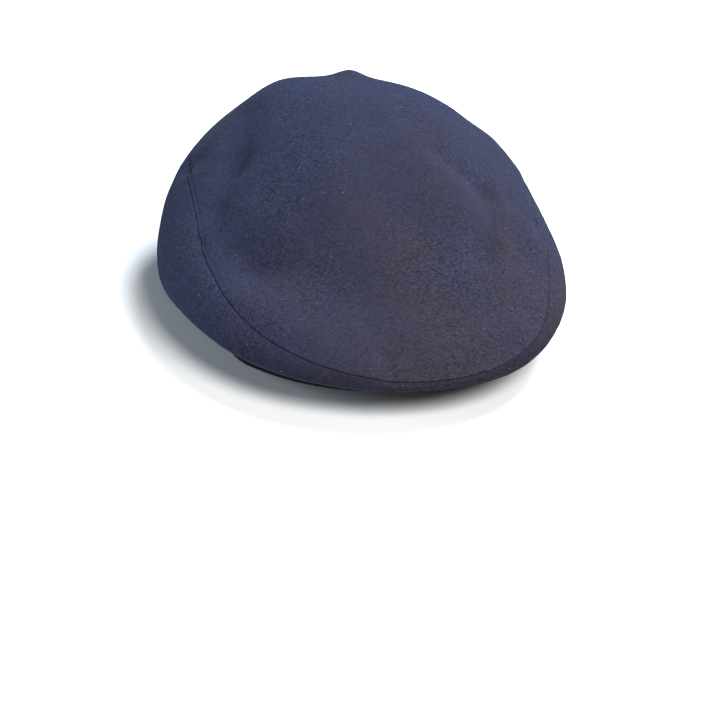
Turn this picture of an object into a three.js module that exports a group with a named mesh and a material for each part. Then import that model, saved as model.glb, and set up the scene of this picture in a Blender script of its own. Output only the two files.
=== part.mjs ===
// Flat cap in navy slub cloth: a large soft top panel, two side panels that turn under,
// a stiff peak that the crown almost covers, and an upright oval head band on which the cap stands.
// Millimetres, +Z up. The front of the cap faces -Y, the wearer's left is +X, the band stands on z = 0.
import * as THREE from 'three';

// Driving dimensions of the crown
const CAP_WIDTH = 232;
const FRONT_REACH = 145; // from the section centre to the front edge
const BACK_REACH = 125; // from the section centre to the back edge
const CROWN_HEIGHT = 110;
const APEX_BACK = 25; // how far the highest point lies behind the section centre
const OUTLINE_POWER = 2.12; // 2 would be an ellipse
const CLOTH = 1.6; // wall of the crown's cloth

// Driving dimensions of the head band
const HEAD_LENGTH = 196; // inside the band, front to back
const HEAD_WIDTH = 162; // inside the band, side to side
const HEAD_BACK = 10; // how far the oval lies behind the section centre
const BAND_HEIGHT = 30;
const BAND_WALL = 2;

// Driving dimensions of the peak and of the lower edge
const PEAK_THICKNESS = 3.4;
const PEAK_INSET = 10.5; // how far the peak's edge lies inside the crown's outline
const PEAK_TIP = 4; // width of the peak where it ends
const PEAK_CLEARANCE = 2.6; // height of the peak's ends above the surface it stands on
const PEAK_LAP = 4; // how far the cloth laps over the peak
const LIP_DROP = 4.6; // from the crown's outer edge down to its turned-under cloth, in front
const SIDE_CLEARANCE = 3; // height of the turned-under cloth at the sides and back
const SEAM_GAP = 0.3; // clearance between pieces that are sewn together

// Angles round the cap in degrees, from the front towards +X, the wearer's left
const PEAK_HALF_ANGLE = 75; // where the peak ends
const FREE_EDGE_ANGLE = 38; // where the crown's cloth starts to leave the peak's edge
const BAND_ARCH_ANGLE = 50; // where the band's lower rim starts to rise towards the front
const LOW_EDGE_ANGLE = 105; // from here to the back the turned-under cloth has its full drop

// Shape of the walls
const DOME_POWER = { front: 0.9, side: 2.1, back: 3.4 }; // how late the top panel falls away
const APEX_SOFTNESS = 0.18; // how far the apex is rounded towards the front, as a share of the panel
const SHOULDER = 0.6; // fullness of the side panel below its seam
const PEAK_FALL_POWER = 1.35; // how the peak falls towards its ends
const SEAM_LEAN = THREE.MathUtils.degToRad(45); // slope of the wall at the seam
const UNDER_FALL = 6; // how far the cloth falls from the outer edge before it turns under

// Mesh density
const STATIONS = 96; // round the cap
const TOP_RINGS = 16; // from the apex to the seam
const SIDE_RINGS = 4; // from the seam to the outer edge
const UNDER_RINGS = 4; // from the outer edge to the lower edge

// Sections round the cap, one row every 30 degrees from the front towards +X.
// edge and seam are heights as shares of the crown's height, inset is a share of half the width.
const SECTIONS = [
  { angle: 0, edge: 0.183, seam: 0.198, inset: 0.03 },
  { angle: 30, edge: 0.186, seam: 0.245, inset: 0.021 },
  { angle: 60, edge: 0.25, seam: 0.395, inset: 0.115 },
  { angle: 90, edge: 0.26, seam: 0.5, inset: 0.12 },
  { angle: 120, edge: 0.27, seam: 0.61, inset: 0.11 },
  { angle: 150, edge: 0.29, seam: 0.67, inset: 0.085 },
  { angle: 180, edge: 0.295, seam: 0.7, inset: 0.07 },
  { angle: 210, edge: 0.29, seam: 0.67, inset: 0.08 },
  { angle: 240, edge: 0.255, seam: 0.61, inset: 0.11 },
  { angle: 270, edge: 0.165, seam: 0.55, inset: 0.164 },
  { angle: 300, edge: 0.205, seam: 0.419, inset: 0.13 },
  { angle: 330, edge: 0.201, seam: 0.275, inset: 0.065 },
];

// Folds of the cloth. from and to are its ends, each an angle and a level: 0 at the apex, 1 at the
// seam. width is half the fold's width as a share of half the cap's width, and height is its height
// as a share of the crown's height, below zero for a dent.
const FOLDS = [
  { name: 'ridge down the middle, above', from: [-150, 0.3], to: [-22, 0.4], width: 0.28, height: 0.018 },
  { name: 'ridge down the middle, below', from: [-22, 0.4], to: [-6, 0.8], width: 0.26, height: 0.02 },
  { name: 'long dent at the right, above', from: [-117, 0.66], to: [-90, 0.77], width: 0.11, height: -0.036 },
  { name: 'long dent at the right, below', from: [-90, 0.77], to: [-77, 0.91], width: 0.1, height: -0.036 },
  { name: 'crease at the right seam', from: [-71, 0.88], to: [-69, 0.99], width: 0.08, height: -0.014 },
  { name: 'ridge below the right crease', from: [-66, 0.82], to: [-66, 0.95], width: 0.08, height: 0.014 },
  { name: 'lower dent at the right', from: [-60, 0.88], to: [-45, 0.83], width: 0.11, height: -0.036 },
  { name: 'shallow dent above the front', from: [-41, 0.79], to: [-34, 0.6], width: 0.13, height: -0.022 },
  { name: 'hollow behind the shelf', from: [-42, 0.8], to: [-13, 0.76], width: 0.17, height: -0.04 },
  { name: 'shelf over the peak', from: [-46, 0.98], to: [-13, 0.965], width: 0.08, height: 0.016 },
  { name: 'end of the shelf', from: [-13, 0.94], to: [-9, 0.975], width: 0.06, height: 0.008 },
  { name: 'ridge at the left', from: [24, 0.34], to: [40, 0.54], width: 0.21, height: 0.032 },
  { name: 'upper groove at the left', from: [52, 0.43], to: [55, 0.62], width: 0.08, height: -0.022 },
  { name: 'dent at the left', from: [60, 0.7], to: [33, 0.7], width: 0.085, height: -0.04 },
  { name: 'notch at the left', from: [73, 0.85], to: [77, 0.95], width: 0.08, height: -0.026 },
  { name: 'swelling below the left notch', from: [67, 0.9], to: [63, 0.95], width: 0.09, height: 0.024 },
  { name: 'low dent at the left', from: [44, 0.85], to: [50, 0.87], width: 0.08, height: -0.018 },
  { name: 'swelling above the front left', from: [6, 0.93], to: [28, 0.93], width: 0.085, height: 0.02 },
  { name: 'nub on top', from: [179, 0.44], to: [177, 0.5], width: 0.08, height: 0.038 },
  { name: 'corner at the back right', from: [-140, 0.55], to: [-126, 0.62], width: 0.15, height: 0.03 },
  { name: 'shoulder at the left', from: [101, 0.93], to: [112, 0.9], width: 0.14, height: 0.03 },
  { name: 'notch in the right seam', from: [-110, 1], to: [-108, 0.94], width: 0.06, height: -0.02 },
];

// Derived sizes
const HALF_WIDTH = CAP_WIDTH / 2;
const CENTRE_Y = (FRONT_REACH - BACK_REACH) / 2;
const FULL_TURN = 360;
const SECTION_STEP = FULL_TURN / SECTIONS.length;
const STATION_STEP = FULL_TURN / STATIONS;

const COLOURS = { top: '#4b4d66', left: '#4e5069', right: '#414560', peak: '#353245', band: '#26242f' };

// Numbers and angles

/** An angle as degrees from -180 to 180, 0 at the front. */
function fromFront(angle) {
  return THREE.MathUtils.euclideanModulo(angle + FULL_TURN / 2, FULL_TURN) - FULL_TURN / 2;
}

/** Smooth value of one column of the sections at an angle: a cubic through each row. */
function sectionValue(column, angle) {
  const place = THREE.MathUtils.euclideanModulo(angle, FULL_TURN) / SECTION_STEP;
  const row = Math.floor(place);
  const t = place - row;
  const value = (i) => SECTIONS[THREE.MathUtils.euclideanModulo(i, SECTIONS.length)][column];
  const slopeHere = (value(row + 1) - value(row - 1)) / 2;
  const slopeNext = (value(row + 2) - value(row)) / 2;
  const a = 2 * value(row) - 2 * value(row + 1) + slopeHere + slopeNext;
  const b = -3 * value(row) + 3 * value(row + 1) - 2 * slopeHere - slopeNext;
  return ((a * t + b) * t + slopeHere) * t + value(row);
}

/** A point at a radius from the section centre, an angle and a height. */
function polar(radius, angle, z) {
  const turn = THREE.MathUtils.degToRad(angle);
  return new THREE.Vector3(radius * Math.sin(turn), CENTRE_Y - radius * Math.cos(turn), z);
}

/** The point that lies a distance from one point on the way to another. */
function towards(from, to, distance) {
  return from.clone().add(to.clone().sub(from).setLength(distance));
}

// Outlines in plan, each a radius at an angle

/** Radius of the crown's outer edge. */
function outlineRadius(angle) {
  const turn = THREE.MathUtils.degToRad(angle);
  const across = Math.abs(Math.sin(turn)) / HALF_WIDTH;
  const along = Math.abs(Math.cos(turn)) / (Math.cos(turn) > 0 ? FRONT_REACH : BACK_REACH);
  return (across ** OUTLINE_POWER + along ** OUTLINE_POWER) ** (-1 / OUTLINE_POWER);
}

/** Radius of the head oval, made larger all round by an extra width. */
function headRadius(angle, extra) {
  const turn = THREE.MathUtils.degToRad(angle);
  const halfWidth = HEAD_WIDTH / 2 + extra;
  const halfLength = HEAD_LENGTH / 2 + extra;
  const across = Math.sin(turn) / halfWidth;
  const along = -Math.cos(turn) / halfLength;
  const shift = HEAD_BACK / halfLength;
  const a = across * across + along * along;
  const b = -2 * along * shift;
  const c = shift * shift - 1;
  return (-b + Math.sqrt(b * b - 4 * a * c)) / (2 * a);
}

/** Share from 0 where the cloth follows the peak's edge to 1 where it has reached the band. */
function releaseShare(angle) {
  return THREE.MathUtils.smoothstep(Math.abs(fromFront(angle)), FREE_EDGE_ANGLE, PEAK_HALF_ANGLE);
}

/** Radius of the peak's outer edge. */
function peakRadius(angle) {
  const root = headRadius(angle, BAND_WALL + SEAM_GAP);
  const edge = outlineRadius(angle) - PEAK_INSET;
  return THREE.MathUtils.lerp(edge, root + PEAK_TIP, releaseShare(angle));
}

/** Radius at which the turned-under cloth ends: on the peak in front, at the band elsewhere. */
function lowerRadius(angle) {
  const band = headRadius(angle, BAND_WALL + SEAM_GAP);
  const onPeak = outlineRadius(angle) - PEAK_INSET - PEAK_LAP;
  return THREE.MathUtils.lerp(onPeak, band, releaseShare(angle));
}

// Heights

/** Height of the crown's outer edge. */
function edgeHeight(angle) {
  return sectionValue('edge', angle) * CROWN_HEIGHT;
}

/** Height of the peak's upper face, the same from its root to its edge. */
function peakTop(angle) {
  const front = edgeHeight(0) - LIP_DROP - SEAM_GAP;
  const end = PEAK_CLEARANCE + PEAK_THICKNESS;
  const along = Math.min(Math.abs(fromFront(angle)) / PEAK_HALF_ANGLE, 1);
  return THREE.MathUtils.lerp(front, end, along ** PEAK_FALL_POWER);
}

/** Height of the turned-under cloth where it ends. */
function lowerHeight(angle) {
  const share = THREE.MathUtils.smoothstep(Math.abs(fromFront(angle)), PEAK_HALF_ANGLE, LOW_EDGE_ANGLE);
  return THREE.MathUtils.lerp(peakTop(angle) + SEAM_GAP, SIDE_CLEARANCE, share);
}

/** Height of the band's lower rim: 0 round the head, and arched over the peak's root in front. */
function bandRim(angle) {
  const along = Math.min(Math.abs(fromFront(angle)) / BAND_ARCH_ANGLE, 1);
  const arch = peakTop(0) - PEAK_THICKNESS - PEAK_CLEARANCE;
  return arch * Math.cos((along * Math.PI) / 2) ** 2;
}

// The crown's wall. A depth of 0 gives its outer face and CLOTH gives its inner face.

/** How late the top panel falls away from the apex at an angle. */
function domePower(angle) {
  const back = (1 - Math.cos(THREE.MathUtils.degToRad(angle))) / 2;
  const { front, side, back: behind } = DOME_POWER;
  return front * (1 - back) * (1 - 2 * back) + 4 * side * back * (1 - back) + behind * back * (2 * back - 1);
}

/** Share of the fall from apex to seam that the top panel has reached at a level. */
function domeFall(angle, level) {
  const soft = APEX_SOFTNESS * Math.max(Math.cos(THREE.MathUtils.degToRad(angle)), 0) ** 2;
  const rounded = (Math.hypot(level, soft) - soft) / (Math.hypot(1, soft) - soft);
  return rounded ** domePower(angle);
}

/** Point of the seam between the top panel and the side panel. */
function seamPoint(angle, depth) {
  const radius = outlineRadius(angle) - sectionValue('inset', angle) * HALF_WIDTH;
  const height = sectionValue('seam', angle) * CROWN_HEIGHT;
  return polar(radius - depth * Math.sin(SEAM_LEAN), angle, height - depth * Math.cos(SEAM_LEAN));
}

/** Unfolded top panel at a level from 0 at the apex to 1 at the seam. */
function topPoint(angle, level, depth) {
  const seam = seamPoint(angle, depth);
  const apex = new THREE.Vector3(0, CENTRE_Y + APEX_BACK, CROWN_HEIGHT - depth);
  const point = apex.clone().lerp(seam, level);
  point.z = THREE.MathUtils.lerp(apex.z, seam.z, domeFall(angle, level));
  return point;
}

/** Unfolded side panel at a share from 0 at the seam to 1 at the outer edge. */
function sidePoint(angle, share, depth) {
  const seam = seamPoint(angle, depth);
  const edge = polar(outlineRadius(angle) - depth, angle, edgeHeight(angle));
  const shoulder = edge.clone().setZ(THREE.MathUtils.lerp(edge.z, seam.z, SHOULDER));
  return new THREE.QuadraticBezierCurve3(seam, shoulder, edge).getPoint(share);
}

/**
 * Turned-under cloth at a share from 0 at the outer edge to 1 at the lower edge: straight down
 * at first, then round towards the lower edge.
 */
function underPoint(angle, share, depth) {
  const edge = new THREE.Vector2(outlineRadius(angle) - depth, edgeHeight(angle));
  const end = new THREE.Vector2(lowerRadius(angle), lowerHeight(angle) + depth);
  const fall = Math.min(edge.y - end.y, UNDER_FALL - depth);
  const corner = new THREE.Vector2(edge.x, edge.y - fall);
  const { x: radius, y: z } = new THREE.QuadraticBezierCurve(edge, corner, end).getPoint(share);
  return polar(radius, angle, z);
}

/** Share of a fold's height at a point: full on its line and fading out over its width. */
function foldShare(fold, point) {
  const line = new THREE.Line3(topPoint(...fold.from, 0), topPoint(...fold.to, 0));
  const nearest = line.closestPointToPoint(point, true, new THREE.Vector3());
  const distance = point.distanceTo(nearest) / (fold.width * HALF_WIDTH);
  return Math.exp(-distance * distance);
}

/** Direction in which a fold moves the cloth: up at the apex, outwards at the outer edge. */
function foldDirection(angle, level) {
  const lean = Math.min(level, 2) * (Math.PI / 4);
  const turn = THREE.MathUtils.degToRad(angle);
  const outwards = new THREE.Vector3(Math.sin(turn), -Math.cos(turn), 0).multiplyScalar(Math.sin(lean));
  return outwards.add(new THREE.Vector3(0, 0, Math.cos(lean)));
}

/** Share of the folds that is left at a level: all of it on top, none from the outer edge on. */
function foldFade(level) {
  return 1 - THREE.MathUtils.smoothstep(level, 1, 2);
}

/**
 * Point of the folded crown. Its level runs from 0 at the apex to 1 at the seam, 2 at the
 * outer edge and 3 at the lower edge.
 */
function crownPoint(angle, level, depth) {
  const flatPoint = (d) => {
    if (level <= 1) return topPoint(angle, level, d);
    return level <= 2 ? sidePoint(angle, level - 1, d) : underPoint(angle, level - 2, d);
  };
  const outer = flatPoint(0);
  const height = FOLDS.reduce((sum, fold) => sum + fold.height * foldShare(fold, outer), 0);
  const move = foldDirection(angle, level).multiplyScalar(height * CROWN_HEIGHT * foldFade(level));
  return flatPoint(depth).add(move);
}

// Solids

/** Collects triangles of shared points into one closed geometry. */
class Solid {
  constructor() {
    this.positions = [];
    this.triangles = [];
  }

  /** Adds a grid of points and returns the grid of their numbers. */
  addGrid(grid) {
    return grid.map((row) => row.map((point) => this.positions.push(...point.toArray()) / 3 - 1));
  }

  /** Adds the four-sided face a, b, c, d, or a triangle where two of its corners are one point. */
  addFace(a, b, c, d) {
    if (new Set([a, b, c]).size === 3) this.triangles.push(a, b, c);
    if (new Set([a, c, d]).size === 3) this.triangles.push(a, c, d);
  }

  /** Adds the faces between two rows of numbers. */
  addStrip(upper, lower) {
    for (let j = 0; j + 1 < upper.length; j += 1) {
      this.addFace(upper[j], lower[j], lower[j + 1], upper[j + 1]);
    }
  }

  /** The finished geometry, with flat shading. */
  geometry() {
    const geometry = new THREE.BufferGeometry();
    geometry.setAttribute('position', new THREE.Float32BufferAttribute(this.positions, 3));
    geometry.setIndex(this.triangles);
    geometry.computeVertexNormals();
    return geometry;
  }
}

/** Stations from one number to another, as angles. */
function stationAngles(from, to) {
  return Array.from({ length: to - from + 1 }, (unused, j) => (from + j) * STATION_STEP);
}

/** A ring of numbers that ends where it starts. */
function closeRing(row) {
  return [...row, row[0]];
}

/** The crown's cloth over some levels and stations, as a grid with one row for each level. */
function crownGrid(levels, angles, depth) {
  return levels.map((level) => angles.map((angle) => crownPoint(angle, level, depth)));
}

/** Draws the first or last row of a grid back from a seam. */
function trimRow(grid, index, neighbour) {
  grid[index] = grid[index].map((point, j) => towards(point, grid[neighbour][j], SEAM_GAP / 2));
}

/** Draws the first and last column of a grid back from their seams. */
function trimColumns(grid) {
  grid.forEach((row) => {
    const last = row.length - 1;
    const first = towards(row[0], row[1], SEAM_GAP / 2);
    row[last] = towards(row[last], row[last - 1], SEAM_GAP / 2);
    row[0] = first;
  });
}

/** Top panel: a dome of cloth from the apex to the seam, closed round its rim. */
function topPanelGeometry() {
  const levels = Array.from({ length: TOP_RINGS }, (unused, i) => (i + 1) / TOP_RINGS);
  const angles = stationAngles(0, STATIONS - 1);
  const solid = new Solid();
  const faces = [0, CLOTH].map((depth) => {
    const grid = crownGrid(levels, angles, depth);
    trimRow(grid, TOP_RINGS - 1, TOP_RINGS - 2);
    const [[apex]] = solid.addGrid([[crownPoint(0, 0, depth)]]);
    const rings = solid.addGrid(grid).map(closeRing);
    return [rings[0].map(() => apex), ...rings];
  });
  const [outer, inner] = faces;
  for (let i = 0; i < TOP_RINGS; i += 1) {
    solid.addStrip(outer[i], outer[i + 1]);
    solid.addStrip(inner[i + 1], inner[i]);
  }
  solid.addStrip(outer[TOP_RINGS], inner[TOP_RINGS]);
  return solid.geometry();
}

/** Side panel between two stations: from the seam over the outer edge and under to the lower edge. */
function sidePanelGeometry(from, to) {
  const rows = SIDE_RINGS + UNDER_RINGS;
  const levels = Array.from({ length: rows + 1 }, (unused, i) =>
    i <= SIDE_RINGS ? 1 + i / SIDE_RINGS : 2 + (i - SIDE_RINGS) / UNDER_RINGS,
  );
  const solid = new Solid();
  const [outer, inner] = [0, CLOTH].map((depth) => {
    const grid = crownGrid(levels, stationAngles(from, to), depth);
    trimRow(grid, 0, 1);
    trimColumns(grid);
    return solid.addGrid(grid);
  });
  const last = to - from;
  for (let i = 0; i < rows; i += 1) {
    solid.addStrip(outer[i], outer[i + 1]);
    solid.addStrip(inner[i + 1], inner[i]);
    solid.addFace(outer[i][0], inner[i][0], inner[i + 1][0], outer[i + 1][0]);
    solid.addFace(outer[i][last], outer[i + 1][last], inner[i + 1][last], inner[i][last]);
  }
  solid.addStrip(inner[0], outer[0]);
  solid.addStrip(outer[rows], inner[rows]);
  return solid.geometry();
}

/**
 * Lofts closed sections, each a list of points, into one solid. The points of a section run
 * outwards along its top and back along its bottom.
 */
function loftGeometry(sections, closed) {
  const solid = new Solid();
  const rows = solid.addGrid(sections).map(closeRing);
  const steps = closed ? rows.length : rows.length - 1;
  for (let j = 0; j < steps; j += 1) {
    const next = rows[(j + 1) % rows.length];
    for (let i = 0; i + 1 < next.length; i += 1) {
      solid.addFace(rows[j][i], rows[j][i + 1], next[i + 1], next[i]);
    }
  }
  if (!closed) {
    const [first, last] = [rows[0], rows[rows.length - 1]];
    for (let i = 1; i + 2 < first.length; i += 1) {
      solid.addFace(first[0], first[i + 1], first[i], first[i]);
      solid.addFace(last[0], last[i], last[i + 1], last[i + 1]);
    }
  }
  return solid.geometry();
}

/** Peak: a stiff crescent in front of the band, with a bevelled outer edge. */
function peakGeometry() {
  const ends = Math.round(PEAK_HALF_ANGLE / STATION_STEP);
  const bevel = PEAK_THICKNESS / 2;
  const sections = stationAngles(-ends, ends).map((angle) => {
    const root = headRadius(angle, BAND_WALL + SEAM_GAP);
    const edge = peakRadius(angle);
    const top = peakTop(angle);
    const bottom = top - PEAK_THICKNESS;
    return [
      polar(root, angle, top),
      polar(edge - bevel, angle, top),
      polar(edge, angle, top - bevel),
      polar(edge - bevel, angle, bottom),
      polar(root, angle, bottom),
    ];
  });
  return loftGeometry(sections, false);
}

/** Head band: an upright oval ring whose lower rim is flat where the cap stands on it. */
function headBandGeometry() {
  const sections = stationAngles(0, STATIONS - 1).map((angle) => {
    const inside = headRadius(angle, 0);
    const outside = headRadius(angle, BAND_WALL);
    return [
      polar(inside, angle, BAND_HEIGHT),
      polar(outside, angle, BAND_HEIGHT),
      polar(outside, angle, bandRim(angle)),
      polar(inside, angle, bandRim(angle)),
    ];
  });
  return loftGeometry(sections, true);
}

/** A named piece with its own cloth. */
function piece(name, geometry, color, roughness) {
  const mesh = new THREE.Mesh(geometry, new THREE.MeshStandardMaterial({ color, roughness, metalness: 0 }));
  mesh.name = name;
  return mesh;
}

const CLOTH_ROUGHNESS = 0.92;
const BAND_ROUGHNESS = 0.85;

const cap = new THREE.Group();
cap.add(piece('top_panel', topPanelGeometry(), COLOURS.top, CLOTH_ROUGHNESS));
cap.add(piece('side_panel_left', sidePanelGeometry(0, STATIONS / 2), COLOURS.left, CLOTH_ROUGHNESS));
cap.add(piece('side_panel_right', sidePanelGeometry(STATIONS / 2, STATIONS), COLOURS.right, CLOTH_ROUGHNESS));
cap.add(piece('peak', peakGeometry(), COLOURS.peak, CLOTH_ROUGHNESS));
cap.add(piece('head_band', headBandGeometry(), COLOURS.band, BAND_ROUGHNESS));

export default cap;
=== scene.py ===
"""Flat cap in navy slub cloth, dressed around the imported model.

The crown's top panel, its two side panels, the peak and the head band are cloth shells built
from the same sizes as the solids they stand for. Stitches and lint are made by Geometry Nodes.
Everything is in metres, +Z up, the front of the cap faces -Y.
"""

import itertools
import logging
import math
from dataclasses import dataclass, field, replace
from enum import Enum

import bpy
import numpy as np
from mathutils import Matrix, Vector


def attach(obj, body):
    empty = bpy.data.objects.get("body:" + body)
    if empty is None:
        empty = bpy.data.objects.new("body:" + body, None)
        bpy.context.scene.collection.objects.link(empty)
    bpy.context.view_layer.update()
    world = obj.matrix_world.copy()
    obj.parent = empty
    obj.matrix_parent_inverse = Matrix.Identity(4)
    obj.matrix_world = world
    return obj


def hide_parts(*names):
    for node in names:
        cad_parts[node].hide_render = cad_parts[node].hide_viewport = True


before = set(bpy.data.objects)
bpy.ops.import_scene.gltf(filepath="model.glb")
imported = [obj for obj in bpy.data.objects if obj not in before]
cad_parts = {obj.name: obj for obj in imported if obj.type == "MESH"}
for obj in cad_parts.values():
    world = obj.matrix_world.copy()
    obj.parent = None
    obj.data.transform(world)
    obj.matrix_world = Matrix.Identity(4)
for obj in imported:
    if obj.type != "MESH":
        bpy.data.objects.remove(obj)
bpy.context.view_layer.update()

LOG = logging.getLogger("flat_cap")
MM = 0.001
FULL_TURN = 360.0
BODY = "root"
TINY = 1e-12
SHARP_ANGLE = math.radians(50)
HASH_WAY = np.array([12.9898, 78.233, 37.719])
HASH_SEED = 4.371
HASH_SCALE = 43758.5453

# How many times the slubs change in a metre along a weft or a warp thread, and the long ones both ways.
WEFT_SLUBS = 500
WARP_SLUBS = 700
LONG_SLUBS = (240, 800, 1)
# Where a thread starts within its wave, and how far apart two threads' slubs are read.
THREAD_START = 0.25
THREAD_STEP = 7.31
FLECK_CELLS = (90, 260, 1)
LINT_SPIN = 1.5
LINT_SCALES = (0.35, 1.4)
GRAIN_SEGMENTS = 6
GRAIN_RINGS = 5

Array = np.ndarray
Color = tuple[float, float, float]
Layers = tuple[tuple[float, float, int], ...]
Socket = bpy.types.NodeSocket
Group = bpy.types.NodeTree
Material = bpy.types.Material
Object = bpy.types.Object


class Side(Enum):
    """The wearer's left or right."""

    LEFT = "left"
    RIGHT = "right"


@dataclass(frozen=True)
class Section:
    """One section of the crown: heights as shares of its height, inset as a share of half its width."""

    angle: float
    edge: float
    seam: float
    inset: float


@dataclass(frozen=True)
class Fold:
    """A fold from one place to another. Level 0 is the apex, 1 the seam and 2 the outer edge.

    Width is half the fold's width as a share of half the cap's width, and height is a share of
    the crown's height, below zero for a dent.
    """

    name: str
    angle: float
    level: float
    to_angle: float
    to_level: float
    width: float
    height: float


SECTIONS = (
    Section(0, 0.183, 0.198, 0.03),
    Section(30, 0.186, 0.245, 0.021),
    Section(60, 0.25, 0.395, 0.115),
    Section(90, 0.26, 0.5, 0.12),
    Section(120, 0.27, 0.61, 0.11),
    Section(150, 0.29, 0.67, 0.085),
    Section(180, 0.295, 0.7, 0.07),
    Section(210, 0.29, 0.67, 0.08),
    Section(240, 0.255, 0.61, 0.11),
    Section(270, 0.165, 0.55, 0.164),
    Section(300, 0.205, 0.419, 0.13),
    Section(330, 0.201, 0.275, 0.065),
)

MAIN_FOLDS = (
    Fold("ridge down the middle, above", -150, 0.3, -22, 0.4, 0.28, 0.018),
    Fold("ridge down the middle, below", -22, 0.4, -6, 0.8, 0.26, 0.02),
    Fold("long dent at the right, above", -117, 0.66, -90, 0.77, 0.11, -0.036),
    Fold("long dent at the right, below", -90, 0.77, -77, 0.91, 0.1, -0.036),
    Fold("crease at the right seam", -71, 0.88, -69, 0.99, 0.08, -0.014),
    Fold("ridge below the right crease", -66, 0.82, -66, 0.95, 0.08, 0.014),
    Fold("lower dent at the right", -60, 0.88, -45, 0.83, 0.11, -0.036),
    Fold("shallow dent above the front", -41, 0.79, -34, 0.6, 0.13, -0.022),
    Fold("hollow behind the shelf", -42, 0.8, -13, 0.76, 0.17, -0.04),
    Fold("shelf over the peak", -46, 0.98, -13, 0.965, 0.08, 0.016),
    Fold("end of the shelf", -13, 0.94, -9, 0.975, 0.06, 0.008),
    Fold("ridge at the left", 24, 0.34, 40, 0.54, 0.21, 0.032),
    Fold("upper groove at the left", 52, 0.43, 55, 0.62, 0.08, -0.022),
    Fold("dent at the left", 60, 0.7, 33, 0.7, 0.085, -0.04),
    Fold("notch at the left", 73, 0.85, 77, 0.95, 0.08, -0.026),
    Fold("swelling below the left notch", 67, 0.9, 63, 0.95, 0.09, 0.024),
    Fold("low dent at the left", 44, 0.85, 50, 0.87, 0.08, -0.018),
    Fold("swelling above the front left", 6, 0.93, 28, 0.93, 0.085, 0.02),
    Fold("nub on top", 179, 0.44, 177, 0.5, 0.08, 0.038),
    Fold("corner at the back right", -140, 0.55, -126, 0.62, 0.15, 0.03),
    Fold("shoulder at the left", 101, 0.93, 112, 0.9, 0.14, 0.03),
    Fold("notch in the right seam", -110, 1, -108, 0.94, 0.06, -0.02),
)

FINE_FOLDS = (
    Fold("crease in front", -5.5, 0.93, -4.5, 1, 0.035, -0.012),
    Fold("edge of the shelf", -12, 0.87, -7, 0.96, 0.045, 0.01),
    Fold("thin crease at the right seam", -70, 0.86, -69.5, 1, 0.035, -0.01),
    Fold("thin ridge at the right seam", -67.5, 0.85, -66.5, 1, 0.03, 0.008),
    Fold("sharp bottom of the long dent", -85, 0.78, -76, 0.89, 0.05, -0.01),
    Fold("sharp bottom of the lower dent", -58, 0.89, -48, 0.86, 0.05, -0.01),
    Fold("sharp bottom of the left dent", 54, 0.7, 38, 0.7, 0.045, -0.008),
    Fold("gap in the right seam", -110, 1, -106, 1, 0.02, -0.012),
    Fold("short ridge at the left", 46, 0.75, 38, 0.79, 0.04, 0.007),
    Fold("thin crease by the left seam", 84, 0.95, 60, 0.955, 0.03, -0.008),
)


def smoothstep(value: Array, low: float, high: float) -> Array:
    """Smooth share from 0 at low to 1 at high.

    Args:
        value: Where to read it.
        low: Where it starts.
        high: Where it ends.

    Returns:
        The share for each value.
    """
    share = np.clip((value - low) / (high - low), 0, 1)
    return share * share * (3 - 2 * share)


def lerp(start: Array, end: Array, share: Array) -> Array:
    """Value a share of the way from start to end."""
    return start + (end - start) * share


def bell(distance: Array, reach: float) -> Array:
    """Share that falls from 1 with distance, over a reach."""
    return np.exp(-((distance / reach) ** 2))


def from_front(angle: Array) -> Array:
    """Angles as degrees from -180 to 180, 0 at the front."""
    return (np.asarray(angle, float) + FULL_TURN / 2) % FULL_TURN - FULL_TURN / 2


def cloth_noise(points: Array, size: float, seed: int) -> Array:
    """Smooth noise in space.

    Args:
        points: Points, with x, y and z last.
        size: Distance over which it changes, in metres.
        seed: Which pattern.

    Returns:
        A value from -1 to 1 for each point.
    """
    cell = points / size
    base = np.floor(cell)
    ease = cell - base
    ease = ease * ease * (3 - 2 * ease)
    total = np.zeros(points.shape[:-1])
    for corner in itertools.product((0, 1), repeat=3):
        lattice = base + np.array(corner)
        mixed = np.sin(lattice @ HASH_WAY + seed * HASH_SEED) * HASH_SCALE
        value = 2 * (mixed - np.floor(mixed)) - 1
        total += value * np.prod(np.where(np.array(corner) == 1, ease, 1 - ease), axis=-1)
    return total


def layered_noise(points: Array, layers: Layers) -> Array:
    """Sum of smooth noises, each with its size in metres, its share and its pattern."""
    return sum(share * cloth_noise(points, size, seed) for size, share, seed in layers)


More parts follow.
